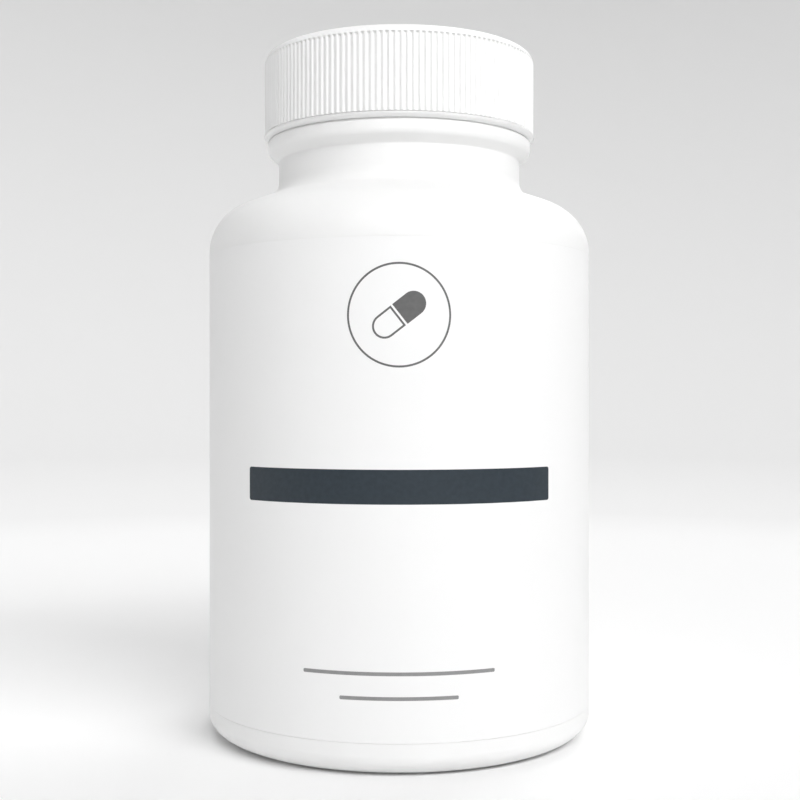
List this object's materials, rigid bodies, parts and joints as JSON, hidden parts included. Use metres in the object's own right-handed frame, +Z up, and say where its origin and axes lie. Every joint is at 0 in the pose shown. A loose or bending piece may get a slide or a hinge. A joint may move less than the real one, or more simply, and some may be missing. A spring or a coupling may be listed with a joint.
{
  "type": "screw cap bottle",
  "caption": "Hollow round plastic tablet bottle with a wide threaded neck, rounded shoulder, wrap-round label and a ribbed screw cap that turns and rises off the neck.",
  "frame": {"origin": "centre of the bottle's footprint, on the surface it stands on", "axes": "+Z up along the bottle's axis; -Y is the front of the label, +Y is the gap between the label's ends"},
  "size_m": [0.0576, 0.0576, 0.1023],
  "materials": {
    "bottle_plastic": "satin white blow-moulded HDPE, faintly uneven",
    "cap_plastic": "satin white moulded polypropylene, ribbed skirt, smooth edges",
    "liner_foam": "matt off-white foamed polyethylene",
    "label_film": "smooth semi-gloss white film with plain grey print"
  },
  "bodies": {
    "bottle": {"bottle": "bottle_plastic", "label": "label_film"},
    "liner": {"liner": "liner_foam"},
    "cap": {"cap": "cap_plastic"}
  },
  "joints": [
    {"name": "cap_rise", "type": "slide", "parent": "bottle", "child": "liner", "axis": [0, 0, 1], "range_m": [0, 0.00425]},
    {"name": "cap_turn", "type": "hinge", "parent": "liner", "child": "cap", "pos_m": [0, 0, 0.0945], "axis": [0, 0, 1], "range_deg": [0, 360]}
  ],
  "couplings": [
    {"joint": "cap_rise", "follows": "cap_turn", "m_per_rad": 0.00067376}
  ]
}
